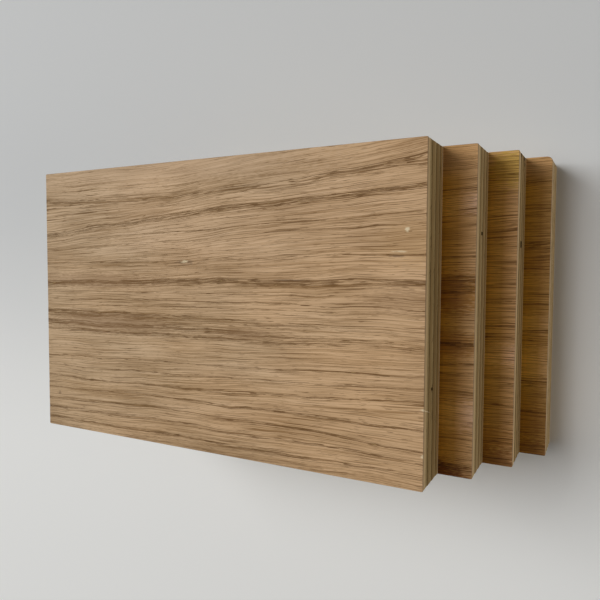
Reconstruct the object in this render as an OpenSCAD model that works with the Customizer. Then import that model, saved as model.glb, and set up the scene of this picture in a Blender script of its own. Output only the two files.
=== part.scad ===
// Stack of small oak-faced plywood sheets, lying flat.
// A sheet is one laminated board: two thin oak faces on an odd number of core plies, with the
// grain turned by a quarter from each ply to the next. The sheets lie face to face with their
// long edges in line, and each one stands out at the +X end past the sheet above it.
// Origin: on the floor, under the middle of the stack. +X runs along the grain of the faces.

/* [Sheet] */
// Length of a sheet, along the grain of its faces
sheet_length = 150; // [100:1:300]
// Width of a sheet, across the grain of its faces
sheet_width = 100; // [80:1:250]
// Width of the eased arris round each face
arris = 0.3; // [0.1:0.05:0.5]

/* [Plies] */
// Number of core plies between the two faces
core_plies = 7; // [3:2:13]
// Thickness of one core ply
core_ply = 2.4; // [1.2:0.1:4]
// Thickness of an oak face veneer
face_veneer = 0.6; // [0.5:0.1:2]
// How far a ply stands back from a sawn edge that cuts across its fibres
ply_setback = 0.15; // [0.05:0.05:0.4]

/* [Core gaps] */
// Width of the gap where two strips of the middle ply don't meet
gap_width = 1; // [0.5:0.1:3]
// Place of the gap in the top sheet, from the sheet's middle line
top_gap_at = -22; // [-35:1:35]
// Place of the gap in the second sheet, from the sheet's middle line
second_gap_at = 24; // [-35:1:35]
// Place of the gap in the third sheet, from the sheet's middle line
third_gap_at = 21; // [-35:1:35]

/* [Stack] */
// How far the second sheet stands out past the top sheet
second_step = 10; // [0:1:25]
// How far the third sheet stands out past the second sheet
third_step = 9; // [0:1:25]
// How far the bottom sheet stands out past the third sheet
bottom_step = 8; // [0:1:25]

/* [Hidden] */
NODES = ["top_sheet", "second_sheet", "third_sheet", "bottom_sheet"];

oak = [0.71, 0.58, 0.43];
sheet_thickness = 2 * face_veneer + core_plies * core_ply;

// Distance of each sheet's middle from the top sheet's middle, from the top down
step_outs = [0, second_step, second_step + third_step, second_step + third_step + bottom_step];
// Where the top sheet's middle lies, so that the stack as a whole is centred on the origin
top_sheet_x = -step_outs[3] / 2;

// Height of a ply's underside in its sheet. Ply 0 is the lower face, and the last is the upper one.
function ply_bottom(ply) = ply == 0 ? 0 : face_veneer + (ply - 1) * core_ply;
function is_face(ply) = ply == 0 || ply == core_plies + 1;
function ply_thickness(ply) = is_face(ply) ? face_veneer : core_ply;
// The fibres of the faces, and of every second ply from them, run along X.
function runs_along_x(ply) = ply % 2 == 0;
function middle_ply() = (core_plies + 1) / 2;

// One ply, cut back at the two edges where the saw crossed its fibres.
module ply(number) {
    length = sheet_length - (runs_along_x(number) ? 2 * ply_setback : 0);
    width = sheet_width - (runs_along_x(number) ? 0 : 2 * ply_setback);
    translate([-length / 2, -width / 2, ply_bottom(number)])
        cube([length, width, ply_thickness(number)]);
}

// A board's section with its four corners broken by the arris, across the given width.
module eased_section(width) {
    polygon([
        [-width / 2 + arris, 0],
        [width / 2 - arris, 0],
        [width / 2, arris],
        [width / 2, sheet_thickness - arris],
        [width / 2 - arris, sheet_thickness],
        [-width / 2 + arris, sheet_thickness],
        [-width / 2, sheet_thickness - arris],
        [-width / 2, arris]
    ]);
}

// The sheet's outline, with an eased arris along all four edges of both faces.
module eased_outline() {
    intersection() {
        rotate([90, 0, 0])
            linear_extrude(height = sheet_width, center = true) eased_section(sheet_length);
        rotate([90, 0, 90])
            linear_extrude(height = sheet_length, center = true) eased_section(sheet_width);
    }
}

// The open joint between two strips of the middle ply. It follows that ply's own fibres.
module core_gap(place) {
    along_x = runs_along_x(middle_ply());
    run = (along_x ? sheet_length : sheet_width) + 2 * gap_width;
    size = along_x ? [run, gap_width] : [gap_width, run];
    middle = along_x ? [0, place] : [place, 0];
    translate([middle[0] - size[0] / 2, middle[1] - size[1] / 2, ply_bottom(middle_ply())])
        cube([size[0], size[1], core_ply]);
}

// One laminated sheet. Its underside is centred on the origin.
module sheet() {
    intersection() {
        eased_outline();
        for (number = [0 : core_plies + 1]) ply(number);
    }
}

module gapped_sheet(gap_at) {
    difference() {
        sheet();
        core_gap(gap_at);
    }
}

// Moves a sheet to its place in the stack. The top sheet is number 0.
module in_stack(number) {
    translate([top_sheet_x + step_outs[number], 0, (len(NODES) - 1 - number) * sheet_thickness])
        children();
}

module top_sheet() {
    color(oak) in_stack(0) gapped_sheet(top_gap_at);
}

module second_sheet() {
    color(oak) in_stack(1) gapped_sheet(second_gap_at);
}

module third_sheet() {
    color(oak) in_stack(2) gapped_sheet(third_gap_at);
}

module bottom_sheet() {
    color(oak) in_stack(3) sheet();
}

top_sheet();
second_sheet();
third_sheet();
bottom_sheet();
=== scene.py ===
import math
from functools import partial

import bpy
import numpy as np
from mathutils import Matrix, Vector


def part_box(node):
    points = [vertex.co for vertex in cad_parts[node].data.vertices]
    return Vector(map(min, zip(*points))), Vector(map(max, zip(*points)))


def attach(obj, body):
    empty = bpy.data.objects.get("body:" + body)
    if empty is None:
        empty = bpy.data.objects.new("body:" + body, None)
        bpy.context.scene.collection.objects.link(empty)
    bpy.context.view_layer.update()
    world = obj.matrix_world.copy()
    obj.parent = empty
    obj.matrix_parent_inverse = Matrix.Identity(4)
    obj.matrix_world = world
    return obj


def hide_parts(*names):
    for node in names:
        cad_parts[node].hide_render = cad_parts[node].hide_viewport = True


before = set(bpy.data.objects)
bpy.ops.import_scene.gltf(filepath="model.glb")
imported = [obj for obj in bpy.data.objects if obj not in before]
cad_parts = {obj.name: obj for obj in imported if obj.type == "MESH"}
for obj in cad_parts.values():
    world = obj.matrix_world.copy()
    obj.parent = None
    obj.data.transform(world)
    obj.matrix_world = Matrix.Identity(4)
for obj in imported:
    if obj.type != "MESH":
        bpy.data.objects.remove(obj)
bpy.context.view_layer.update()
mm = 0.001
print("frame loaded:", sorted(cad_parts))


# small helpers for node trees, the same for geometry and shader trees

def feed(tree, socket, value):
    if isinstance(value, bpy.types.NodeSocket):
        tree.links.new(value, socket)
    elif socket.type == "RGBA":
        socket.default_value = (*value[:3], 1.0)
    else:
        socket.default_value = value


def put(tree, kind, inputs=None, **settings):
    made = tree.nodes.new(kind)
    for name, value in settings.items():
        setattr(made, name, value)
    for name, value in (inputs or {}).items():
        feed(tree, made.inputs[name], value)
    return made


def first(tree, kind, inputs=None, **settings):  # a node of which only the first output is used
    return put(tree, kind, inputs, **settings).outputs[0]


signs = {"+": "ADD", "-": "SUBTRACT", "*": "MULTIPLY", "/": "DIVIDE", "*+": "MULTIPLY_ADD"}
signs.update({"<": "LESS_THAN", ">": "GREATER_THAN"})


def calc(tree, operation, *values):
    made = put(tree, "ShaderNodeMath", operation=signs.get(operation, operation))
    for socket, value in zip(made.inputs, values):
        feed(tree, socket, value)
    return made.outputs[0]


def ramp(tree, value, fromLow, fromHigh, toLow=0.0, toHigh=1.0, kind="SMOOTHSTEP"):
    names = ("Value", "From Min", "From Max", "To Min", "To Max")
    inputs = dict(zip(names, (value, fromLow, fromHigh, toLow, toHigh)))
    return first(tree, "ShaderNodeMapRange", inputs, interpolation_type=kind)


def vector(tree, x=0.0, y=0.0, z=0.0):
    return first(tree, "ShaderNodeCombineXYZ", {"X": x, "Y": y, "Z": z})


def apart(tree, value):  # the x, y and z of a vector
    return put(tree, "ShaderNodeSeparateXYZ", {"Vector": value}).outputs


def noise(tree, x, y, z, detail=2.0, roughness=0.5):
    inputs = {"Vector": vector(tree, x, y, z), "Scale": 1.0, "Detail": detail, "Roughness": roughness}
    return first(tree, "ShaderNodeTexNoise", inputs)


def mixColour(tree, factor, under, over, blend="MIX"):
    made = put(tree, "ShaderNodeMix", data_type="RGBA", blend_type=blend)
    for number, value in ((0, factor), (6, under), (7, over)):  # 6 and 7 are its colours
        feed(tree, made.inputs[number], value)
    return made.outputs[2]


def socketKind(value):
    if value is None:
        return "NodeSocketMaterial"
    if isinstance(value, tuple):
        return "NodeSocketColor" if len(value) == 4 else "NodeSocketVector"
    return "NodeSocketInt" if isinstance(value, int) else "NodeSocketFloat"


def newTree(name, kind, inputs, outputs):
    tree = bpy.data.node_groups.new(name, kind)
    for socketName, value in inputs.items():
        socket = tree.interface.new_socket(socketName, in_out="INPUT", socket_type=socketKind(value))
        if value is not None:
            socket.default_value = value
    for socketName, socketType in outputs.items():
        tree.interface.new_socket(socketName, in_out="OUTPUT", socket_type=socketType)
    return tree, tree.nodes.new("NodeGroupInput").outputs, tree.nodes.new("NodeGroupOutput").inputs


def addObject(name, data):
    made = bpy.data.objects.new(name, data)
    bpy.context.scene.collection.objects.link(made)
    return made


def rgb(*screen):  # screen values of 0 to 255, as linear light
    def linear(c):
        c = c / 255
        return c / 12.92 if c <= 0.04045 else ((c + 0.055) / 1.055) ** 2.4

    return tuple(linear(c) for c in screen)


# the lamination that all four sheets share, in mm, under the names of the sheet tree's inputs

lamination = {
    "Core plies": 7,
    "Core ply": 2.4,
    "Face veneer": 0.6,
    "Set-back": 0.09,  # of a core ply whose fibres the saw crossed
    "Arris": 0.14,
    "Nick": 0.3,  # the deepest chips along an arris
    "Groove": 0.05,  # where two plies meet on a sawn edge
    "Rough": 0.03,  # sawn along the fibres
    "Torn": 0.07,  # more of it where the saw crossed them
    "Gap width": 1.0,
    "Gap depth": 6.0,
    "Corner": 0.35,
    "Columns along": 120,
    "Columns across": 120,
    "Crowding": 0.55,  # columns stand closer near the corners
    "Rows per ply": 6,
}
veneerDepth, coreDepth = lamination["Face veneer"], lamination["Core ply"]
thickness = 2 * veneerDepth + lamination["Core plies"] * coreDepth

wearing = {
    "patch": 6.0,  # mm from a more worn stretch of an arris to the next
    "least": 0.1,  # of the arris
    "spread": 1.5,
    "roundness": 1.6,
    "chip": 1.6,  # mm
    "chipping": (0.64, 0.8),  # higher for fewer chips
    "fibreAlong": 0.08,  # waves per mm, along the fibres and across them
    "fibreAcross": 0.88,
    "fibreUp": 1.3,
}
splinter = {
    "tip": 0.012,  # radii, as shares of its length
    "root": 0.075,
    "droop": 0.05,
    "rooted": 0.4,  # share of its length inside the sheet
    "sunk": 0.2,  # mm under the face
    "turn": (0.0, math.radians(92), math.radians(-14)),
}
mapEvenly = 0.05  # share of a wall's height in the map that its rows get evenly


# one sheet: a gridded block with its rows spread over the plies and its walls cut ply by ply

def makeSheetTree():
    tree, given, result = newTree(
        "plywoodSheet",
        "GeometryNodeTree",
        {
            "Length": 150.0,
            "Width": 100.0,
            **lamination,
            "Worn corner": lamination["Corner"],
            "Gap at": 0.0,
            "Splinter at": 0.0,
            "Splinter": 0.0,
            "Seed": 0.0,
            "Middle": (0.0, 0.0, 0.0),
            "Oak": None,
            "Ply along": None,
            "Ply across": None,
        },
        {"Mesh": "NodeSocketGeometry"},
    )
    do = partial(calc, tree)
    tiny = 0.001  # mm

    def make(kind, inputs=None, **settings):
        return first(tree, "GeometryNode" + kind, inputs, **settings)

    def store(geometry, name, value, domain, chosen=True):
        inputs = {"Geometry": geometry, "Selection": chosen, "Name": name, "Value": value}
        return make("StoreNamedAttribute", inputs, data_type="FLOAT", domain=domain)

    def stored(name):
        return make("InputNamedAttribute", {"Name": name}, data_type="FLOAT")

    halfLength = do("*", given["Length"], 0.5)
    halfWidth = do("*", given["Width"], 0.5)
    plies = do("+", given["Core plies"], 2.0)
    lastPly = do("+", given["Core plies"], 1.0)
    rows = do("*", plies, given["Rows per ply"])
    lastRow = do("-", rows, 1.0)
    block = make(
        "MeshCube",
        {
            "Size": vector(tree, given["Length"], given["Width"], 1.0),
            "Vertices X": do("+", given["Columns along"], 1.0),
            "Vertices Y": do("+", given["Columns across"], 1.0),
            "Vertices Z": rows,
        },
    )
    x, y, z = apart(tree, make("InputPosition"))
    facingX, facingY, facingZ = apart(tree, make("InputNormal"))

    # which ply a row of points is in, and how high it lies
    row = do("ROUND", do("*", do("+", z, 0.5), lastRow))
    ply = do("FLOOR", do("/", do("+", row, 0.5), given["Rows per ply"]))
    step = do("-", row, do("*", ply, given["Rows per ply"]))
    upPly = ramp(tree, step, 0.0, do("-", given["Rows per ply"], 1.0), kind="SMOOTHERSTEP")
    isLower = do("<", ply, 0.5)
    isUpper = do(">", ply, do("-", lastPly, 0.5))
    isFace = do("+", isLower, isUpper)

    def undersideOf(number):
        return do("*+", do("-", number, 1.0), given["Core ply"], given["Face veneer"])

    thinner = do("-", given["Face veneer"], given["Core ply"])
    plyDepth = do("*+", isFace, thinner, given["Core ply"])
    height = do("*+", upPly, plyDepth, do("MAXIMUM", undersideOf(ply), 0.0))
    runsAcross = do("MODULO", ply, 2.0)
    runsAlong = do("-", 1.0, runsAcross)

    # what the materials and the map read later
    endX = do(">", do("ABSOLUTE", facingX), 0.5)
    sideY = do(">", do("ABSOLUTE", facingY), 0.5)
    below = do("<", facingZ, -0.5)
    toMinus = do("<", do("+", facingX, facingY), -0.5)
    wallSide = do("*+", endX, 2.0, do("*", sideY, 4.0))
    side = do("+", do("+", wallSide, below), toMinus)
    mesh = store(block, "side", side, "FACE")  # 0 top, 1 under, 2 and 3 ends, 4 and 5 long sides
    mesh = store(mesh, "ply", ply, "FACE")
    wholePly = do("FLOOR", do("+", stored("ply"), 0.01))
    oddPly = do("MODULO", wholePly, 2.0)
    evenPly = do("-", 1.0, oddPly)
    cutAcross = do("+", do("*", endX, evenPly), do("*", sideY, oddPly))
    mesh = store(mesh, "endGrain", cutAcross, "FACE")
    plySeed = do("*+", given["Seed"], 17.0, wholePly)
    plyTone = first(tree, "ShaderNodeTexWhiteNoise", {"W": plySeed}, noise_dimensions="1D")
    mesh = store(mesh, "plyTone", plyTone, "FACE")
    dealt = do("*", do("/", row, lastRow), mapEvenly * thickness)
    mesh = store(mesh, "unrolled", do("*+", height, 1 - mapEvenly, dealt), "POINT")

    # columns crowd towards the corners, and two of them meet the edges of the core gap
    def crowded(value, half):
        turn = do("SINE", do("*", do("/", value, half), math.pi))
        return do("*+", turn, do("*", half, do("/", given["Crowding"], math.pi)), value)

    def pastGap(value):
        return do(">", crowded(value, halfWidth), given["Gap at"])

    alongAt = crowded(x, halfLength)
    acrossAt = crowded(y, halfWidth)
    spacing = do("/", given["Width"], given["Columns across"])
    hasGap = do(">", given["Gap width"], 0.0)
    past = pastGap(y)
    lastBefore = do("-", pastGap(do("+", y, spacing)), past)
    firstPast = do("-", past, pastGap(do("-", y, spacing)))
    for edgeSide, column in ((-0.5, lastBefore), (0.5, firstPast)):
        gapEdge = do("*+", given["Gap width"], edgeSide, given["Gap at"])
        moved = do("*", do("*", column, hasGap), do("-", gapEdge, acrossAt))
        acrossAt = do("+", acrossAt, moved)

    # how far the saw and wear have taken a wall back
    def overWall(size, detail, roughness=0.5):
        seeded = do("+", ply, given["Seed"])
        return noise(tree, do("/", x, size), do("/", y, size), seeded, detail, roughness)

    wear = do("*+", overWall(wearing["patch"], 3.0, 0.6), wearing["spread"], wearing["least"])
    chip = ramp(tree, overWall(wearing["chip"], 1.0), *wearing["chipping"])
    wear = do("*+", chip, given["Nick"], do("*", wear, given["Arris"]))
    fromMiddle = do("*", do("-", upPly, 0.5), 2.0)  # -1 to 1 through a ply
    rounding = do("-", do("*", fromMiddle, isUpper), do("*", fromMiddle, isLower))
    eased = do("*", do("POWER", do("MAXIMUM", rounding, 0.0), wearing["roundness"]), wear)
    atArris = do(">", rounding, 0.5)
    seam = do("-", do(">", do("ABSOLUTE", fromMiddle), 0.99), atArris)
    cutBack = do("*+", do("MAXIMUM", seam, 0.0), given["Groove"], eased)

    def waves(value, crosses):
        closer = wearing["fibreAcross"] - wearing["fibreAlong"]
        return do("*", value, do("*+", crosses, closer, wearing["fibreAlong"]))

    plyCut = do("*+", ply, 7.3, do("*", height, wearing["fibreUp"]))
    fibre = noise(tree, waves(x, runsAcross), waves(y, runsAlong), plyCut, 2.0, 0.6)

    def inset(value, half, crossed):
        onWall = do(">", do("ABSOLUTE", value), do("-", half, tiny))
        crossedCore = do("*", crossed, do("-", 1.0, isFace))
        grain = do("*", fibre, do("*+", crossedCore, given["Torn"], given["Rough"]))
        total = do("+", do("*+", crossedCore, given["Set-back"], cutBack), grain)
        return do("*", total, onWall)

    # the four upright corners are rounded a little, and the one at +X +Y may be worn further
    atWorn = do("*", do(">", x, 0.0), do(">", y, 0.0))
    radius = do("*+", atWorn, do("-", given["Worn corner"], given["Corner"]), given["Corner"])

    def pastCorner(at, half):
        return do("MAXIMUM", do("-", do("ABSOLUTE", at), do("-", half, radius)), 0.0)

    pastX = pastCorner(alongAt, halfLength)
    pastY = pastCorner(acrossAt, halfWidth)
    farther = do("MAXIMUM", pastX, pastY)
    spanned = do("SQRT", do("+", do("*", pastX, pastX), do("*+", pastY, pastY, 1e-9)))
    pulled = do("-", do("/", farther, spanned), 1.0)
    both = do("*", do(">", pastX, 1e-5), do(">", pastY, 1e-5))
    pulled = do("*", pulled, both)

    def settled(at, past, backBy):
        return do("*", do("-", do("*+", past, pulled, do("ABSOLUTE", at)), backBy), do("SIGN", at))

    newX = settled(alongAt, pastX, inset(x, halfLength, runsAlong))
    newY = settled(acrossAt, pastY, inset(y, halfWidth, runsAcross))
    newPlace = vector(tree, newX, newY, height)
    mesh = make("SetPosition", {"Geometry": mesh, "Position": newPlace})

    # the open joint in the middle ply goes in at both ends
    inPly = do("COMPARE", stored("ply"), do("*", lastPly, 0.5), 0.1)
    offGap = do("ABSOLUTE", do("-", y, given["Gap at"]))
    inGap = do("*", inPly, do("<", offGap, do("*", given["Gap width"], 0.5)))
    mesh = store(mesh, "gap", 0.0, "FACE")
    for sideNumber, inward in ((2.0, -1.0), (3.0, 1.0)):
        opened = put(
            tree,
            "GeometryNodeExtrudeMesh",
            {
                "Mesh": mesh,
                "Selection": do("*", inGap, do("COMPARE", stored("side"), sideNumber, 0.1)),
                "Offset": vector(tree, inward),
                "Offset Scale": given["Gap depth"],
                "Individual": False,
            },
        )
        inside = do("MAXIMUM", opened.outputs["Top"], opened.outputs["Side"])
        mesh = store(opened.outputs["Mesh"], "gap", 1.0, "FACE", inside)

    # a torn fibre of the upper face that stands out past the +X end
    sliver = make(
        "MeshCone",
        {
            "Vertices": 6,
            "Side Segments": 5,
            "Radius Top": do("*", given["Splinter"], splinter["tip"]),
            "Radius Bottom": do("*", given["Splinter"], splinter["root"]),
            "Depth": given["Splinter"],
        },
    )
    drooped = vector(tree, do("*", do("*", z, z), splinter["droop"]))
    sliver = make("SetPosition", {"Geometry": sliver, "Offset": drooped})
    upperFace = do("+", undersideOf(lastPly), given["Face veneer"])
    rooted = vector(
        tree,
        do("-", halfLength, do("*", given["Splinter"], splinter["rooted"])),
        given["Splinter at"],
        do("-", upperFace, splinter["sunk"]),
    )
    placed = {"Geometry": sliver, "Translation": rooted, "Rotation": splinter["turn"]}
    sliver = make("Transform", placed)
    joined = put(tree, "GeometryNodeJoinGeometry")
    for part in (sliver, mesh):
        tree.links.new(part, joined.inputs[0])
    hasSplinter = do(">", given["Splinter"], 0.0)
    either = {"Switch": hasSplinter, "False": mesh, "True": joined.outputs[0]}
    mesh = make("Switch", either, input_type="GEOMETRY")

    # to its place in the stack, in metres
    placed = {"Geometry": mesh, "Translation": given["Middle"], "Scale": (mm, mm, mm)}
    mesh = make("Transform", placed)
    mesh = make("RealizeInstances", {"Geometry": mesh})
    isWall = do(">", stored("side"), 1.5)
    overLower = do(">", stored("ply"), 0.75)
    underUpper = do("<", stored("ply"), do("-", lastPly, 0.25))
    isCore = do("*", isWall, do("*", overLower, underUpper))
    mesh = make("SetMaterial", {"Geometry": mesh, "Material": given["Oak"]})
    for chosen, worn in ((isCore, "Ply along"), (do("*", isCore, oddPly), "Ply across")):
        inputs = {"Geometry": mesh, "Selection": chosen, "Material": given[worn]}
        mesh = make("SetMaterial", inputs)
    tree.links.new(mesh, result["Mesh"])
    return tree


sheetTree = makeSheetTree()
print("sheet tree:", len(sheetTree.nodes), "nodes")


# a growth ring's porous band on an oak face: dark from its upper edge, fading below it

bandShape = {
    "edge": 0.12,  # softness of the upper edge, and where it fades, as shares of its width
    "fading": (1.05, 0.3),
    "reach": 2.0,  # mm, how near the grain bends with it
}


def makeBandGroup():
    results = ("Darkness", "Lift", "Weight")
    tree, given, result = newTree(
        "growthBand",
        "ShaderNodeTree",
        {
            "Along": 0.0,  # 0 at the left end, 1 at the right
            "Arch": 0.0,  # along times one minus along
            "Across": 0.0,  # mm
            "Width": 1.0,
            **dict.fromkeys(("Left", "Rise", "Bow", "Middle"), 0.0),
            **dict.fromkeys(("Dark left", "Dark rise", "Dark bow"), 0.0),
            **dict.fromkeys((name + " so far" for name in results), 0.0),
        },
        dict.fromkeys(results, "NodeSocketFloat"),
    )
    do = partial(calc, tree)
    straight = do("*+", given["Along"], given["Rise"], given["Left"])
    line = do("*+", given["Arch"], given["Bow"], straight)
    under = do("-", line, given["Across"])
    share = do("/", under, given["Width"])
    edge = ramp(tree, share, -bandShape["edge"], bandShape["edge"])
    body = do("*", edge, ramp(tree, share, *bandShape["fading"]))
    darkLine = do("*+", given["Along"], given["Dark rise"], given["Dark left"])
    strength = do("MAXIMUM", do("*+", given["Arch"], given["Dark bow"], darkLine), 0.0)
    dark = do("*", body, strength)
    tree.links.new(do("MAXIMUM", dark, given["Darkness so far"]), result["Darkness"])
    weight = do("/", 1.0, do("*+", under, under, bandShape["reach"] ** 2))
    lifted = do("-", line, given["Middle"])
    tree.links.new(do("*+", weight, lifted, given["Lift so far"]), result["Lift"])
    tree.links.new(do("+", weight, given["Weight so far"]), result["Weight"])
    return tree


# a small mark on a face, such as a torn fleck or a stain: an oval with a ragged edge

def makeMarkGroup():
    tree, given, result = newTree(
        "faceMark",
        "ShaderNodeTree",
        {
            "Along": 0.0,
            "Across": 0.0,
            "At along": 0.0,
            "At across": 0.0,
            "Half length": 1.0,
            "Half width": 1.0,
            "Ragged": 0.0,
            "Strength": 1.0,
            "Soaks in": 0.0,  # 0 covers the grain, 1 lets it show
            "Mark": (1.0, 1.0, 1.0, 1.0),
            "Colour so far": (1.0, 1.0, 1.0, 1.0),
        },
        {"Colour": "NodeSocketColor"},
    )
    do = partial(calc, tree)
    alongShare = do("/", do("-", given["Along"], given["At along"]), given["Half length"])
    acrossShare = do("/", do("-", given["Across"], given["At across"]), given["Half width"])
    far = do("SQRT", do("*+", alongShare, alongShare, do("*", acrossShare, acrossShare)))
    far = do("+", far, given["Ragged"])
    solid = 0.35  # of the way from its middle to its edge
    factor = do("*", ramp(tree, far, 1.0, solid), given["Strength"])
    soaked = mixColour(tree, 1.0, given["Colour so far"], given["Mark"], "MULTIPLY")
    marked = mixColour(tree, given["Soaks in"], given["Mark"], soaked)
    tree.links.new(mixColour(tree, factor, given["Colour so far"], marked), result["Colour"])
    return tree


bandGroup = makeBandGroup()
markGroup = makeMarkGroup()


# the oak of a face. Lengths, widths and heights are in mm

oak = {
    "pale": rgb(211, 176, 139),
    "plain": rgb(196, 161, 123),
    "plainAt": 0.3,  # on the way from pale, 0, to dark, 1
    "brown": rgb(143, 107, 64),
    "brownAt": 0.85,
    "pore": rgb(102, 70, 32),
    "poreCover": 0.88,
    "fleck": rgb(214, 184, 124),
    "fleckCover": 0.6,
    "endGrain": rgb(172, 142, 104),
    "endCover": 0.75,
    "endGrainUnderPaintedLight": rgb(255, 230, 186),  # the lower veneer's edge, much paler than the upper's: painted light where it lies in shade
    "endCoverUnder": 0.95,
    "ruddyLow": rgb(250, 255, 257),  # tints towards the left-hand end and the right-hand one
    "ruddyHigh": rgb(262, 259, 252),
    "bend": (34.0, 14.0, 2.8),  # slow waves of the grain: length, width and height
    "ripple": (11.0, 3.0, 0.35),
    "cloud": (40.0, 9.0, 0.86),  # paler and darker stretches: length, width and strength
    "blush": (50.0, 16.0, 0.6),
    "ragged": (2.0, 0.4, 1.8),  # edges of marks
    "patchy": (22.0, 0.8),  # length and width of fuller stretches in a band
    "patchyOver": (0.3, 0.65),
    "patchyLeast": 0.45,
    "patchyMore": 0.6,
    "fine": (75.0, 0.43),  # length and width of the fine lines
    "fineSoft": 0.21,
    "fineDark": 0.32,
    "finer": (18.0, 0.235),
    "finerSoft": 0.22,
    "finerDark": 0.46,
    "pores": (4.5, 0.17, 0.67, 0.42),  # length, width, and how rare in plain wood and in a band
    "hairs": (22.0, 0.2),
    "hairsInBand": 0.41,
    "hairDark": 0.85,
    "flecks": (2.2, 0.28, 0.82, 0.63),
    "dashSoft": 0.06,
    "bandTone": 0.18,
    "bandContrast": 0.4,  # what a band adds to the contrast of the fine lines
    "lean": 0.014,  # how much steeper the pores run than the bands
    "middleRise": 1.0,  # more of it over the middle of the sheet
    "middleHalf": 32.0,
    # how far the painted skylight takes over at a strip's +Y end
    "paintedSkylightShare": 0.72,
    "roughness": 0.58,
    "poreRough": 0.18,
    "fineRough": 0.06,
    "specular": 0.35,
    "bump": 0.55,
    "bumpDepth": 0.06 * mm,
    "poreHeight": -1.0,  # of that depth
    "fineHeight": -0.25,
}

# bands are (left, middle, right height, width, dark at left, middle, right)
figures = {
    "top_sheet": [
        (42.5, 42.5, 44.0, 1.0, 0.3, 0.15, 0.1), (40.0, 39.3, 45.5, 3.8, 0.55, 0.4, 0.75),
        (26.5, 33.0, 37.6, 2.8, 0.55, 0.75, 0.85), (24.0, 26.5, 30.0, 0.8, 0.3, 0.55, 0.45),
        (20.0, 23.5, 26.5, 0.7, 0.3, 0.45, 0.35), (15.2, 16.3, 18.0, 1.3, 0.5, 0.4, 0.5),
        (7.4, 9.7, 10.0, 3.2, 1.0, 0.8, 0.75), (3.5, 4.8, 5.0, 0.7, 0.45, 0.5, 0.5),
        (0.8, 2.0, 2.0, 0.7, 0.45, 0.55, 0.5), (-1.5, 0.0, 0.5, 0.7, 0.4, 0.5, 0.45),
        (-3.0, -3.0, -4.5, 3.6, 0.8, 0.55, 0.0), (-6.8, -7.2, -8.0, 3.0, 0.75, 0.65, 0.3),
        (-9.8, -10.0, -9.2, 1.8, 0.55, 0.7, 0.45), (-21.5, -19.5, -16.5, 0.9, 0.5, 0.55, 0.65),
        (-25.0, -23.6, -20.0, 0.9, 0.4, 0.55, 0.65), (-29.3, -28.0, -23.9, 1.4, 0.6, 0.65, 0.7),
        (-34.3, -32.3, -32.0, 1.3, 0.4, 0.65, 0.65), (-38.8, -36.6, -38.2, 1.3, 0.6, 0.75, 0.75),
        (-42.0, -41.0, -41.2, 1.4, 0.6, 0.7, 0.6), (-46.2, -45.3, -45.2, 1.4, 0.7, 0.7, 0.5),
        (-49.0, -48.6, -48.2, 0.8, 0.3, 0.3, 0.4),
    ],
}


def leaningBands(lean, bands):  # known by height, width and darkness at the right-hand end
    grown = []
    for height, width, dark in bands:
        rise = lean * (0.5 + height / 100)  # none at the sheet's lower edge, all of it at the upper
        grown.append((height - rise, height - 0.4 * rise, height, width, 0.8 * dark, 0.9 * dark, dark))
    return grown


figures["second_sheet"] = leaningBands(
    8.0,
    [
        (43.0, 0.8, 0.35), (37.2, 1.0, 0.65), (31.2, 0.8, 0.5), (25.6, 0.8, 0.4),
        (17.0, 0.9, 0.55), (11.5, 5.0, 0.45), (7.2, 2.2, 0.7), (0.0, 0.8, 0.3),
        (-8.5, 2.6, 0.9), (-15.0, 1.6, 0.65), (-18.0, 1.1, 0.5), (-23.5, 1.0, 0.45),
        (-32.0, 0.8, 0.3), (-38.0, 1.0, 0.35), (-45.5, 4.0, 0.7),
    ],
)
figures["third_sheet"] = leaningBands(
    5.0,
    [
        (48.2, 0.5, 0.45), (46.4, 0.5, 0.55), (44.6, 0.5, 0.45), (43.0, 0.6, 0.5),
        (41.4, 0.5, 0.4), (39.8, 0.8, 0.6), (35.0, 0.8, 0.4), (26.2, 1.8, 0.5),
        (17.6, 1.0, 0.5), (12.0, 0.8, 0.4), (7.6, 0.8, 0.4), (3.0, 0.9, 0.5),
        (-4.4, 1.3, 0.5), (-7.8, 1.4, 0.6), (-15.0, 0.8, 0.35), (-21.4, 1.1, 0.55),
        (-29.8, 2.0, 0.55), (-35.7, 1.3, 0.6), (-42.0, 1.0, 0.4), (-47.0, 1.0, 0.4),
    ],
)
figures["bottom_sheet"] = leaningBands(
    3.0,
    [
        (42.6, 1.8, 0.35), (34.5, 0.8, 0.4), (31.6, 1.0, 0.6), (22.2, 4.0, 0.6),
        (13.3, 1.5, 0.7), (4.7, 0.9, 0.55), (1.6, 1.3, 0.65), (-7.2, 1.1, 0.75),
        (-10.8, 0.8, 0.5), (-23.4, 5.0, 0.55), (-34.4, 2.4, 0.6), (-42.0, 0.9, 0.4),
        (-47.0, 1.0, 0.4),
    ],
)

# colours of marks: paints cover the grain, and stains soak in and let it show
paints = {
    "paleFibre": rgb(226, 205, 168),
    "darkFibre": rgb(98, 72, 46),
    "warmBrown": rgb(142, 106, 69),
    "paleOak": rgb(206, 173, 138),
    "knotDark": rgb(34, 21, 11),
}
stains = {
    "deepBrown": (0.64, 0.49, 0.14),
    # footDark: darker towards a strip's -Y end
    "footDark": (0.42, 0.24, 0.05),
    "paler": (1.26, 1.36, 2.0),
    "goldenOak": (0.98, 0.955, 0.86),
    "greyer": (0.985, 1.0, 1.035),
    "lighter": (1.1, 1.1, 1.1),
    "dimmer": (0.85, 0.83, 0.79),
    "oliveStain": (1.02, 1.1, 0.55),
}
# painted skylight: the paler, less golden tint of a strip's +Y end
paintedSkylitTint = (1.03, 0.93, 0.73)


def onStrip(across, half, strength, colour):  # over the strip that stands out past the next sheet
    return (66.0, across, 20.0, half, strength, colour)


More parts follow.
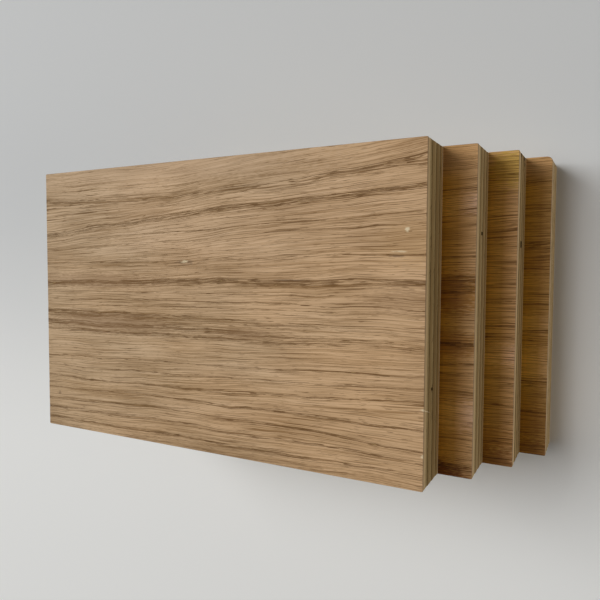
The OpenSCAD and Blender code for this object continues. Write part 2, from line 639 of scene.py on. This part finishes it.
# marks are (along, across, half length, half width, strength, colour), in mm from the sheet's middle
marks = {
    "top_sheet": [
        (0.0, 32.0, 85.0, 26.0, 1.0, "greyer"),
        (0.0, 36.0, 34.0, 8.0, 0.7, "lighter"),
        (-10.0, -3.0, 50.0, 3.6, 0.6, "lighter"),
        (0.0, -15.0, 32.0, 4.5, 0.6, "lighter"),
        (0.0, -27.0, 32.0, 4.8, 0.9, "lighter"),
        (-50.0, -33.0, 32.0, 4.5, 0.9, "lighter"),
        (52.0, 15.0, 30.0, 5.0, 0.6, "lighter"),
        (52.0, -11.0, 30.0, 6.5, 0.9, "lighter"),
        (62.0, -26.0, 18.0, 6.0, 0.6, "lighter"),
        (-20.0, 42.5, 60.0, 3.4, 0.75, "lighter"),
        (-60.0, -3.0, 26.0, 3.4, 0.6, "lighter"),
        (12.0, -50.5, 80.0, 7.0, 1.0, "dimmer"),
        (52.0, 49.0, 30.0, 5.0, 0.6, "lighter"),
        (72.0, 21.0, 14.0, 9.0, 0.8, "goldenOak"),
        (-15.0, 47.5, 80.0, 7.0, 0.4, "paleOak"),
        (-48.0, 8.2, 44.0, 4.0, 0.42, "warmBrown"),
        (68.0, 4.0, 15.0, 4.5, 0.3, "warmBrown"),
        (-43.0, -7.2, 39.0, 5.5, 0.5, "warmBrown"),
        (16.0, -8.3, 15.0, 2.6, 0.4, "warmBrown"),
        (-7.6, 15.2, 4.5, 0.9, 0.5, "darkFibre"),
        (-7.7, 15.4, 2.0, 0.6, 0.9, "paleFibre"),
        (69.6, 24.5, 0.9, 0.8, 1.0, "paleFibre"),
        (67.5, 18.3, 2.4, 0.35, 0.8, "paleFibre"),
        (66.5, 17.0, 3.4, 0.5, 0.6, "darkFibre"),
        (-69.0, -36.8, 0.9, 0.8, 0.55, "darkFibre"),
        (32.2, 9.6, 8.0, 0.3, 0.7, "darkFibre"),
        (74.9, -39.7, 0.9, 0.6, 1.0, "paleFibre"),
        (75.6, -26.5, 2.0, 0.7, 1.0, "paleFibre"),
    ],
    "second_sheet": [
        onStrip(32.5, 4.5, 0.9, "paler"),
        onStrip(-31.0, 6.5, 0.95, "paler"),
        onStrip(5.8, 8.5, 0.85, "deepBrown"),
        onStrip(-9.5, 5.5, 0.7, "deepBrown"),
        (62.0, -50.0, 16.0, 6.5, 0.95, "footDark"),
    ],
    "third_sheet": [
        (73.0, 44.5, 10.0, 8.5, 0.95, "oliveStain"),
        onStrip(-14.0, 5.0, 0.85, "paler"),
        onStrip(24.6, 3.4, 0.25, "deepBrown"),
        onStrip(-41.5, 5.0, 0.5, "deepBrown"),
        onStrip(-50.0, 8.0, 0.62, "footDark"),
    ],
    "bottom_sheet": [
        onStrip(-5.5, 4.5, 0.85, "paler"),
        onStrip(-20.0, 9.0, 0.95, "paler"),
        onStrip(15.5, 6.5, 0.42, "deepBrown"),
        onStrip(-38.0, 8.0, 0.5, "deepBrown"),
        onStrip(-50.0, 8.0, 0.55, "footDark"),
    ],
}

# the same on the +X end: (across, height, half width, half height, strength, colour)
endMarks = {
    "third_sheet": [
        (49.3, 12.5, 1.2, 1.8, 0.6, "knotDark"),
        (49.2, 4.8, 1.4, 2.6, 0.9, "knotDark"),
        (47.4, 3.4, 1.0, 2.0, 0.5, "knotDark"),
    ],
}
endDepth = 0.5  # mm that such a mark goes in


def emptyMaterial(name):
    material = bpy.data.materials.new(name)
    material.use_nodes = True
    material.node_tree.nodes.clear()
    return material, material.node_tree


def endMaterial(tree, inputs):
    put(tree, "ShaderNodeOutputMaterial", {"Surface": first(tree, "ShaderNodeBsdfPrincipled", inputs)})


def sheetPlace(tree, low, high):  # mm from the sheet's middle, and height over its underside
    middle = (low + high) / 2
    inputs = {
        "Vector": put(tree, "ShaderNodeTexCoord").outputs["Object"],
        "Location": (-middle.x / mm, -middle.y / mm, -low.z / mm),
        "Scale": (1 / mm, 1 / mm, 1 / mm),
    }
    return apart(tree, first(tree, "ShaderNodeMapping", inputs))


def attribute(tree, name):
    return put(tree, "ShaderNodeAttribute", attribute_name=name).outputs["Fac"]


def layMarks(tree, along, across, ragged, present, colour, listed):
    for atAlong, atAcross, halfLong, halfWide, strength, name in listed:
        soaks = name in stains
        inputs = {
            "Along": along,
            "Across": across,
            "At along": atAlong,
            "At across": atAcross,
            "Half length": halfLong,
            "Half width": halfWide,
            "Ragged": ragged,
            "Strength": calc(tree, "*", present, strength),
            "Soaks in": float(soaks),
            "Mark": stains[name] if soaks else paints[name],
            "Colour so far": colour,
        }
        colour = first(tree, "ShaderNodeGroup", inputs, node_tree=markGroup)
    return colour


def woodShader(tree, wood, colour, roughness, relief):  # the shader at the end of a wood's tree
    bump = {"Height": relief, "Strength": wood["bump"], "Distance": wood["bumpDepth"]}
    inputs = {
        "Base Color": colour,
        "Roughness": roughness,
        "Normal": first(tree, "ShaderNodeBump", bump),
        "Specular IOR Level": wood["specular"],
    }
    endMaterial(tree, inputs)


def colourStops(tree, factor, stops):  # places and colours, in order
    made = put(tree, "ShaderNodeValToRGB", {"Fac": factor})
    elements = made.color_ramp.elements
    for element, (position, colour) in zip(elements, (stops[0], stops[-1])):
        element.position = position
        element.color = (*colour, 1.0)
    for position, colour in stops[1:-1]:
        elements.new(position).color = (*colour, 1.0)
    return made.outputs[0]


def makeOak(sheet):
    node, seed = sheet["node"], sheet["seed"]
    material, tree = emptyMaterial("oak_" + node)
    do = partial(calc, tree)
    mix = partial(mixColour, tree)
    low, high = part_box(node)
    length = (high.x - low.x) / mm
    x, y, z = sheetPlace(tree, low, high)
    turned = do("SIGN", do("-", z, thickness / 2))  # the lower face is a leaf turned half round
    along = do("*", x, turned)
    level = do("*", y, turned)

    def waved(base, kind, cut, detail=2.0):
        alongSize, acrossSize, strength = oak[kind]
        wave = noise(tree, do("/", along, alongSize), do("/", level, acrossSize), seed + cut, detail)
        return do("*+", do("-", wave, 0.5), strength, base)

    across = waved(waved(level, "bend", 0.0), "ripple", 3.1)
    share = do("*+", along, 1 / length, 0.5)
    arch = do("*", share, do("-", 1.0, share))

    darkness, lift, weight = 0.0, 0.0, 0.0
    for left, middle, right, width, darkLeft, darkMiddle, darkRight in figures[node]:
        inputs = {
            "Along": share,
            "Arch": arch,
            "Across": across,
            "Left": left,
            "Rise": right - left,
            "Bow": 4 * middle - 2 * (left + right),
            "Middle": middle,
            "Width": width,
            "Dark left": darkLeft,
            "Dark rise": darkRight - darkLeft,
            "Dark bow": 4 * darkMiddle - 2 * (darkLeft + darkRight),
            "Darkness so far": darkness,
            "Lift so far": lift,
            "Weight so far": weight,
        }
        darkness, lift, weight = put(tree, "ShaderNodeGroup", inputs, node_tree=bandGroup).outputs
    flow = do("-", across, do("/", lift, weight))  # height with the bands made straight
    flow = do("*+", along, -oak["lean"], flow)
    risen = ramp(tree, along, -oak["middleHalf"], oak["middleHalf"], 0.0, oak["middleRise"])
    flow = do("-", flow, risen)

    def streaks(alongSize, acrossSize, cut, detail=2.0):
        return noise(tree, do("/", along, alongSize), do("/", flow, acrossSize), seed + cut, detail)

    def lines(kind, cut, detail):  # light and dark lines
        alongSize, acrossSize = oak[kind]
        paleTo = sheet["paleTo"]
        drawn = streaks(alongSize, acrossSize * sheet["lineScale"], cut, detail)
        return ramp(tree, drawn, paleTo, paleTo + oak[kind + "Soft"])

    patchy = ramp(tree, streaks(*oak["patchy"], 11.0), *oak["patchyOver"])
    porous = do("*", darkness, do("*+", patchy, oak["patchyMore"], oak["patchyLeast"]))
    fine = lines("fine", 5.0, 3.0)
    finer = lines("finer", 7.0, 2.0)

    def dashes(cut, alongSize, acrossSize, rare, common):  # short dark lines, more of them in a band
        threshold = do("*+", porous, common - rare, rare)
        drawn = streaks(alongSize, acrossSize, cut, 1.0)
        return ramp(tree, drawn, threshold, do("+", threshold, oak["dashSoft"]))

    pores = dashes(9.0, *oak["pores"])
    hairs = dashes(15.0, *oak["hairs"], sheet["hairs"], oak["hairsInBand"])
    pores = do("MAXIMUM", pores, do("*", hairs, oak["hairDark"]))
    flecks = dashes(19.0, *oak["flecks"])
    drawn = do("*+", fine, oak["fineDark"], do("*", finer, oak["finerDark"]))
    evenTone = (oak["fineDark"] + oak["finerDark"]) / 2
    contrast = do("*+", porous, oak["bandContrast"], sheet["contrast"])
    tone = do("*+", do("-", drawn, evenTone), contrast, evenTone)
    tone = do("*+", porous, oak["bandTone"], tone)
    tone = waved(tone, "cloud", 1.7)

    stops = [(0.0, oak["pale"]), (oak["plainAt"], oak["plain"]), (oak["brownAt"], oak["brown"])]
    colour = colourStops(tree, tone, stops)
    colour = mix(do("*", pores, oak["poreCover"]), colour, oak["pore"])
    colour = mix(do("*", flecks, oak["fleckCover"]), colour, oak["fleck"])
    blush = waved(do("*+", share, 0.5, 0.4), "blush", 8.3, 1.0)
    blush = ramp(tree, blush, 0.4, 0.9)  # ruddier towards the right-hand end
    blush = mix(blush, oak["ruddyLow"], oak["ruddyHigh"])
    colour = mix(1.0, colour, blush, "MULTIPLY")
    if "under" in sheet:  # painted shade and bounce light: golden next to where the next sheet covers it, with painted light offsetting the contact shadow just off that sheet's wall, fading outwards
        coverEdge = (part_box(sheet["under"])[1].x - (low.x + high.x) / 2) / mm
        bared = ramp(tree, x, coverEdge, length / 2, kind="LINEAR")
        # painted shade, bounce light and painted light across the strip
        paintedStripLight = colourStops(tree, bared, sheet["paintedStripLight"])
        # painted skylight: towards the strip's +Y end the painted shade gives way to a paler tint
        paintedSkylightShare = ramp(tree, y, *sheet["paintedSkylightOver"], 0.0, oak["paintedSkylightShare"])
        paintedStripLight = mix(paintedSkylightShare, paintedStripLight, paintedSkylitTint)
        colour = mix(1.0, colour, paintedStripLight, "MULTIPLY")
    raggedLong, raggedWide, raggedDeep = oak["ragged"]
    ragged = do("*", do("-", streaks(raggedLong, raggedWide, 13.0), 0.5), raggedDeep)
    upperFace = do(">", z, thickness / 2)
    colour = layMarks(tree, x, y, ragged, upperFace, colour, marks[node])
    # the lower veneer's cut edge gets a paler colour: painted light
    covers = do("*+", upperFace, oak["endCover"] - oak["endCoverUnder"], oak["endCoverUnder"])
    cutVeneer = mix(upperFace, oak["endGrainUnderPaintedLight"], oak["endGrain"])
    colour = mix(do("*", attribute(tree, "endGrain"), covers), colour, cutVeneer)

    relief = do("*+", pores, oak["poreHeight"], do("*", fine, oak["fineHeight"]))
    shine = do("*+", fine, oak["fineRough"], oak["roughness"])
    shine = do("*+", pores, oak["poreRough"], shine)
    woodShader(tree, oak, colour, shine, relief)
    return material


# core plies: one wood, cut along its fibres on two walls and across them on the other two

corePly = {
    "crossband": rgb(228, 201, 159),  # the ply under the upper face
    "crossbandDark": rgb(205, 177, 134),
    "longGrain": rgb(183, 156, 112),
    "longGrainDark": rgb(148, 121, 80),
    "endGrain": rgb(197, 171, 127),
    "endGrainDark": rgb(154, 129, 88),
    # size along, across and up in mm, detail, and the noise at which it starts and is full
    "streak": (35.0, 1.1, 0.4, 3.0, 0.32, 0.68),
    "hair": (9.0, 0.22, 0.16, 2.0, 0.52, 0.72),
    "broad": (60.0, 16.0, 3.0, 2.0, 0.3, 0.7),
    "dots": (30.0, 0.3, 0.3, 1.0, 0.55, 0.72),
    "streakDark": 0.62,
    "hairDark": 0.5,
    "plyDark": 0.5,  # from ply to ply
    "plyShift": 90.0,
    "dotsDark": 0.5,
    "broadDark": 0.35,
    "plyEndDark": 0.6,
    "checkSize": (0.55, 5.0),  # small slanting cracks in the end grain
    "checkSlant": 0.8,
    "checking": (0.66, 0.74),  # higher for fewer
    "checkCover": 0.6,
    "glue": rgb(96, 73, 46),
    "glueFade": (0.096, 0.03),  # mm from a seam
    "glueUneven": 4.0,  # mm
    "glueOver": (0.3, 0.6),
    "glueLeast": 0.2,
    "glueMore": 0.4,
    # softness of the painted shade round a gap
    "gapShadeSoft": 0.5,  # mm
    "kerf": (0.7, 30.0),  # saw marks, mm apart and high
    "roughness": 0.8,
    "streakRough": 0.1,
    "specular": 0.05,
    "bump": 0.6,
    "bumpDepth": 0.08 * mm,
    "kerfHeight": 0.35,  # of that depth
    "streakHeight": -0.4,
    "dotsHeight": -0.6,
}


def makeCorePly(name, sheet, runsAcross):
    node, seed = sheet["node"], sheet["seed"]
    material, tree = emptyMaterial(name + "_" + node)
    do = partial(calc, tree)
    mix = partial(mixColour, tree)
    low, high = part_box(node)
    x, y, z = sheetPlace(tree, low, high)
    along, across = (y, x) if runsAcross else (x, y)
    plyTone = attribute(tree, "plyTone")
    offTone = do("-", plyTone, 0.5)
    crossed = attribute(tree, "endGrain")
    shift = do("*+", plyTone, corePly["plyShift"], seed)

    def grain(kind):
        alongSize, acrossSize, upSize, detail, start, end = corePly[kind]
        shifted = do("+", do("/", along, alongSize), shift)
        drawn = noise(tree, shifted, do("/", across, acrossSize), do("/", z, upSize), detail, 0.6)
        return ramp(tree, drawn, start, end)

    streak = grain("streak")
    dots = grain("dots")
    slanted = do("*+", z, corePly["checkSlant"], across)
    checkWide, checkHigh = corePly["checkSize"]
    checks = noise(tree, do("/", slanted, checkWide), do("/", z, checkHigh), shift, 1.0)
    checks = do("*", ramp(tree, checks, *corePly["checking"]), crossed)
    hair = do("*", grain("hair"), corePly["hairDark"])
    longTone = do("*+", streak, corePly["streakDark"], hair)
    longTone = do("*+", offTone, corePly["plyDark"], longTone)
    isCrossband = do(">", z, thickness - veneerDepth - coreDepth)
    pale = mix(isCrossband, corePly["longGrain"], corePly["crossband"])
    dark = mix(isCrossband, corePly["longGrainDark"], corePly["crossbandDark"])
    longGrain = mix(longTone, pale, dark)
    broad = do("*", grain("broad"), corePly["broadDark"])
    endTone = do("*+", dots, corePly["dotsDark"], broad)
    endTone = do("*+", offTone, corePly["plyEndDark"], endTone)
    endGrain = mix(endTone, corePly["endGrain"], corePly["endGrainDark"])
    colour = mix(crossed, longGrain, endGrain)
    colour = mix(do("*", checks, corePly["checkCover"]), colour, corePly["glue"])
    inLattice = do("/", do("-", z, veneerDepth), coreDepth)
    offSeam = do("*", do("PINGPONG", inLattice, 0.5), coreDepth)
    seam = ramp(tree, offSeam, *corePly["glueFade"])
    patch = corePly["glueUneven"]
    uneven = noise(tree, do("/", x, patch), do("/", y, patch), z, 3.0)
    uneven = ramp(tree, uneven, *corePly["glueOver"])
    uneven = do("*+", uneven, corePly["glueMore"], corePly["glueLeast"])
    colour = mix(do("*", seam, uneven), colour, corePly["glue"])
    # per-sheet tints that also paint light: lower sheets get paler plies, the bottom sheet's much
    # paler
    isUnderband = do("<", z, veneerDepth + coreDepth)
    plyTintPaintedLight = mix(isCrossband, sheet["core"], sheet["crossband"])
    plyTintPaintedLight = mix(isUnderband, plyTintPaintedLight, sheet["underbandTintPaintedLight"])
    colour = mix(1.0, colour, plyTintPaintedLight, "MULTIPLY")
    if sheet["gapAt"] is not None:  # painted shade: the wood beside the gap is darkened too, and the gap's own faces take the painted gap colour
        shadeWide, shadeHigh, shadeDark = sheet["paintedShadeRoundGap"]
        offGap = do("ABSOLUTE", do("-", y, sheet["gapAt"]))
        offPly = do("ABSOLUTE", do("-", z, thickness / 2))
        besideGap = ramp(tree, offGap, shadeWide, shadeWide - corePly["gapShadeSoft"])
        besidePly = ramp(tree, offPly, shadeHigh, shadeHigh - corePly["gapShadeSoft"])
        gapShadeMask = do("*", do("*", besideGap, besidePly), shadeDark)
        gapShadeMask = do("MAXIMUM", attribute(tree, "gap"), gapShadeMask)
        colour = mix(gapShadeMask, colour, sheet["paintedGapShade"])
    onEnd = do(">", x, (high.x - low.x) / 2 / mm - endDepth)
    colour = layMarks(tree, y, z, 0.0, onEnd, colour, endMarks.get(node, []))

    kerfWide, kerfHigh = corePly["kerf"]
    kerf = noise(tree, do("/", do("+", x, y), kerfWide), 0.0, do("/", z, kerfHigh), 1.0)
    relief = do("*+", kerf, corePly["kerfHeight"], do("*", streak, corePly["streakHeight"]))
    relief = do("*+", do("*", dots, crossed), corePly["dotsHeight"], relief)
    relief = do("-", relief, checks)
    shine = do("*+", streak, corePly["streakRough"], corePly["roughness"])
    woodShader(tree, corePly, colour, shine, relief)
    return material


# the four sheets, from the top down. Gaps are in mm from a sheet's middle line

sheets = [
    {
        "node": "top_sheet",
        "piece": "oak_sheet_top",
        "gapAt": -22.0,
        # painted light: the gap's inside is paler than its own shade
        "paintedGapShade": rgb(150, 120, 80),
        "paintedShadeRoundGap": (0.8, 1.3, 0.5),  # half width, half height and darkness of the painted shade round the gap
        "splinter": (-26.3, 2.6),  # place and length
        "seed": 3.0,
        "contrast": 0.78,  # of the fine grain lines
        "lineScale": 1.0,  # of their width
        "paleTo": 0.4,  # higher for thinner dark lines, further apart
        "hairs": 0.61,  # lower for more of the long dark hair lines
        # painted light: the plies of lower sheets are paler than the top sheet's, the bottom sheet's
        # much paler, as if more light fell on them
        "crossband": (0.94, 0.91, 0.85),  # tint, with painted light, of the core ply under the upper face
        "core": (0.76, 0.73, 0.64),
        "underbandTintPaintedLight": (0.96, 0.9, 0.77),  # and of the core ply over the lower face, also with painted light
    },
    {
        "node": "second_sheet",
        "piece": "oak_sheet_second",
        "gapAt": 24.0,
        # painted shade: the gap's inside and the wood round its mouth near black
        "paintedGapShade": rgb(42, 28, 14),
        "paintedShadeRoundGap": (0.78, 1.35, 0.9),
        "seed": 21.0,
        "under": "top_sheet",
        "paintedStripLight": [  # painted shade and light as tints, from under the next sheet, 0, to the edge that stands out, 1
            (0.0, (0.78, 0.56, 0.072)),
            (0.12, (1.05, 0.76, 0.12)),
            (0.45, (0.745, 0.54, 0.13)),
            (1.0, (0.945, 0.875, 0.73)),
        ],
        "paintedSkylightOver": (38.0, 47.0),  # mm from the middle line, where the painted strip shade gives way to painted skylight towards +Y
        "contrast": 1.12,
        "lineScale": 1.09,
        "paleTo": 0.45,
        "hairs": 0.568,
        # ply tints with painted light, paler than the top sheet's
        "crossband": (0.96, 0.94, 0.89),
        "core": (0.93, 0.91, 0.86),
        "underbandTintPaintedLight": (1.03, 0.99, 0.88),
    },
    {
        "node": "third_sheet",
        "piece": "oak_sheet_third",
        "gapAt": 21.0,
        # painted shade: the gap's inside and the wood round its mouth near black
        "paintedGapShade": rgb(20, 14, 8),
        "paintedShadeRoundGap": (1.35, 1.95, 0.97),
        "seed": 38.0,
        "under": "second_sheet",
        # painted shade and light as tints across the strip, as on the sheet above
        "paintedStripLight": [
            (0.0, (0.83, 0.655, 0.12)),
            (0.13, (1.095, 0.83, 0.165)),
            (0.5, (0.775, 0.585, 0.165)),
            (1.0, (0.99, 0.885, 0.69)),
        ],
        # where the painted shade gives way to painted skylight towards +Y
        "paintedSkylightOver": (41.5, 50.5),
        "contrast": 1.65,
        "lineScale": 1.12,
        "paleTo": 0.46,
        "hairs": 0.54,
        # ply tints with painted light, paler than the top sheet's
        "crossband": (1.06, 1.03, 0.99),
        "core": (1.01, 0.98, 0.92),
        "underbandTintPaintedLight": (1.08, 1.03, 0.9),
    },
    {
        "node": "bottom_sheet",
        "piece": "oak_sheet_bottom",
        "gapAt": None,
        "seed": 55.0,
        "under": "third_sheet",
        # painted shade and light as tints across the strip, as on the sheet above
        "paintedStripLight": [
            (0.0, (0.81, 0.635, 0.095)),
            (0.14, (1.035, 0.78, 0.105)),
            (0.6, (0.68, 0.5, 0.105)),
            (1.0, (0.775, 0.665, 0.345)),
        ],
        # where the painted shade gives way to painted skylight towards +Y
        "paintedSkylightOver": (40.0, 48.0),
        "contrast": 1.2,
        "lineScale": 1.09,
        "paleTo": 0.45,
        "hairs": 0.56,
        # painted light: the bottom sheet's plies much paler than the others, its crossband less so
        "crossband": (0.97, 0.98, 1.0),
        "core": (1.58, 1.64, 1.8),
        "underbandTintPaintedLight": (1.66, 1.72, 1.9),
        "wornCorner": 1.8,
    },
]


def readAll(data, field, kind, size=1):
    values = np.zeros(len(data) * size, kind)
    data.foreach_get(field, values)
    return values


def layOutMap(mesh, low, high):  # upper face, walls, and the lower face at half size
    middle = (low + high) / 2
    side = readAll(mesh.attributes["side"].data, "value", np.float32)
    up = readAll(mesh.attributes["unrolled"].data, "value", np.float32)
    places = readAll(mesh.vertices, "co", np.float32, 3).reshape(-1, 3)
    places = (places - np.array([middle.x, middle.y, low.z])) / mm
    corner = readAll(mesh.loops, "vertex_index", np.int32)
    loops = readAll(mesh.polygons, "loop_total", np.int32)
    cornerSide = np.repeat(np.round(side).astype(int), loops)
    halfX = (high.x - low.x) / 2 / mm
    halfY = (high.y - low.y) / 2 / mm
    x = places[corner, 0] + halfX
    y = places[corner, 1] + halfY
    rise = up[corner]
    margin = 2.0  # mm
    secondColumn = 2 * halfX + margin
    secondRow = 2 * halfY + margin
    nextWall = thickness + margin
    across = secondColumn + 2 * nextWall  # the picture's width in mm
    layouts = {
        0: (x, y),
        1: (x / 2, secondRow + 2 * nextWall + y / 2),
        2: (secondColumn + rise, y),
        3: (secondColumn + nextWall + rise, y),
        4: (x, secondRow + rise),
        5: (x, secondRow + nextWall + rise),
    }
    spots = np.zeros((len(corner), 2), np.float32)
    for number, (u, v) in layouts.items():
        chosen = cornerSide == number
        spots[chosen, 0] = u[chosen]
        spots[chosen, 1] = v[chosen]
    layer = mesh.uv_layers.new(name="OFBake")
    layer.uv.foreach_set("vector", (spots / across).ravel())


sharpFrom = math.radians(32)


def makeSheet(sheet):
    node = sheet["node"]
    low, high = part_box(node)
    splinterAt, splinterLength = sheet.get("splinter", (0.0, 0.0))
    holder = addObject(sheet["piece"], bpy.data.meshes.new(sheet["piece"]))
    modifier = holder.modifiers.new("sheet", "NODES")
    modifier.node_group = sheetTree
    values = {
        **lamination,
        "Length": (high.x - low.x) / mm,
        "Width": (high.y - low.y) / mm,
        "Worn corner": sheet.get("wornCorner", lamination["Corner"]),
        "Gap at": sheet["gapAt"] or 0.0,
        "Gap width": 0.0 if sheet["gapAt"] is None else lamination["Gap width"],
        "Splinter at": splinterAt,
        "Splinter": splinterLength,
        "Seed": sheet["seed"],
        "Middle": ((low.x + high.x) / 2, (low.y + high.y) / 2, low.z),
        "Oak": makeOak(sheet),
        "Ply along": makeCorePly("plyAlong", sheet, False),
        "Ply across": makeCorePly("plyAcross", sheet, True),
    }
    for item in sheetTree.interface.items_tree:
        if item.in_out == "INPUT":
            modifier[item.identifier] = values[item.name]
    ready = holder.evaluated_get(bpy.context.evaluated_depsgraph_get())
    mesh = bpy.data.meshes.new_from_object(ready)
    holder.modifiers.remove(modifier)
    holder.data = mesh
    mesh.name = sheet["piece"]
    mesh.materials.pop(index=0)  # the empty slot that the first Set Material leaves
    mesh.shade_smooth()
    mesh.set_sharp_from_angle(angle=sharpFrom)
    layOutMap(mesh, low, high)
    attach(holder, "root")
    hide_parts(node)
    print(sheet["piece"], len(mesh.vertices), "points,", len(mesh.polygons), "faces")


for sheet in sheets:
    makeSheet(sheet)


# floor, light and camera, in metres

stage = {
    "floorSize": 3.0,
    "floorDrop": 0.05 * mm,
    # painted shade: the floor is darker towards +Y
    "floorNear": rgb(243, 243, 242),  # towards -Y
    "floorFar": rgb(211, 212, 213),
    "floorBlend": 0.09,  # half the width of the change between them
    "floorWaver": 0.02,
    "floorClouds": 9.0,  # per metre
    "floorRoughness": 0.7,
    "floorSpecular": 0.2,
    "worldColour": rgb(235, 236, 238),
    "worldStrength": 0.06,
    "lampsAimAt": (0.0, 0.0, 0.04),
    "lamps": {  # place, size, power, colour
        "key": ((-1.45, 0.62, 1.94), 1.3, 32.5, (0.98, 1.0, 1.0)),
        "over": ((-0.5, 0.25, 2.0), 0.9, 12.0, (1.0, 0.98, 0.95)),
        "fill": ((1.95, -0.25, 0.8), 1.2, 5.0, (1.0, 0.92, 0.8)),
        "side": ((2.2, -0.3, 0.3), 0.5, 3.0, (1.0, 0.98, 0.92)),
    },
}
camera = {
    "eye": (0.1052, 0.01543, 0.24618),
    "target": (0.0031, 0.0046, 0.072),
    "lens": 37.2,
    "sensor": 36.0,
    "shiftX": 0.0918,
    "shiftY": -0.0087,
    "nearest": 0.01,
}


def makeFloor():
    half = stage["floorSize"] / 2
    mesh = bpy.data.meshes.new("floor")
    corners = [(-half, -half, 0), (half, -half, 0), (half, half, 0), (-half, half, 0)]
    mesh.from_pydata(corners, [], [(0, 1, 2, 3)])
    floor = addObject("floor", mesh)
    floor.location.z = -stage["floorDrop"]
    material, tree = emptyMaterial("paleFloor")
    where = put(tree, "ShaderNodeTexCoord").outputs["Object"]
    clouds = {"Vector": where, "Scale": stage["floorClouds"], "Detail": 3.0}
    clouds = first(tree, "ShaderNodeTexNoise", clouds)
    across = calc(tree, "*+", clouds, stage["floorWaver"], apart(tree, where)[1])
    # blend towards the darker far side, painted shade
    blend = ramp(tree, across, -stage["floorBlend"], stage["floorBlend"])
    inputs = {
        "Base Color": mixColour(tree, blend, stage["floorNear"], stage["floorFar"]),
        "Roughness": stage["floorRoughness"],
        "Specular IOR Level": stage["floorSpecular"],
    }
    endMaterial(tree, inputs)
    mesh.materials.append(material)


def makeLamp(name, place, size, power, colour):
    data = bpy.data.lights.new(name, "AREA")
    data.size = size
    data.energy = power
    data.color = colour
    light = addObject(name, data)
    light.location = place
    aim = Vector(stage["lampsAimAt"]) - Vector(place)
    light.rotation_euler = aim.to_track_quat("-Z", "Y").to_euler()


def makeCamera():
    data = bpy.data.cameras.new("camera")
    data.lens = camera["lens"]
    data.sensor_width = camera["sensor"]
    data.shift_x = camera["shiftX"]
    data.shift_y = camera["shiftY"]
    data.clip_start = camera["nearest"]
    eye = Vector(camera["eye"])
    forward = (Vector(camera["target"]) - eye).normalized()
    right = forward.cross(Vector((0, 1, 0))).normalized()
    up = right.cross(forward)
    looker = addObject("camera", data)
    looker.location = eye
    looker.rotation_euler = Matrix((right, up, -forward)).transposed().to_euler()
    bpy.context.scene.camera = looker


def makeWorld():
    world = bpy.data.worlds.new("studio")
    world.use_nodes = True
    sky = world.node_tree.nodes["Background"].inputs
    feed(world.node_tree, sky["Color"], stage["worldColour"])
    feed(world.node_tree, sky["Strength"], stage["worldStrength"])
    bpy.context.scene.world = world
    bpy.context.scene.view_settings.view_transform = "Standard"


makeFloor()
for name, lamp in stage["lamps"].items():
    makeLamp(name, *lamp)
makeCamera()
makeWorld()
print("stage set")
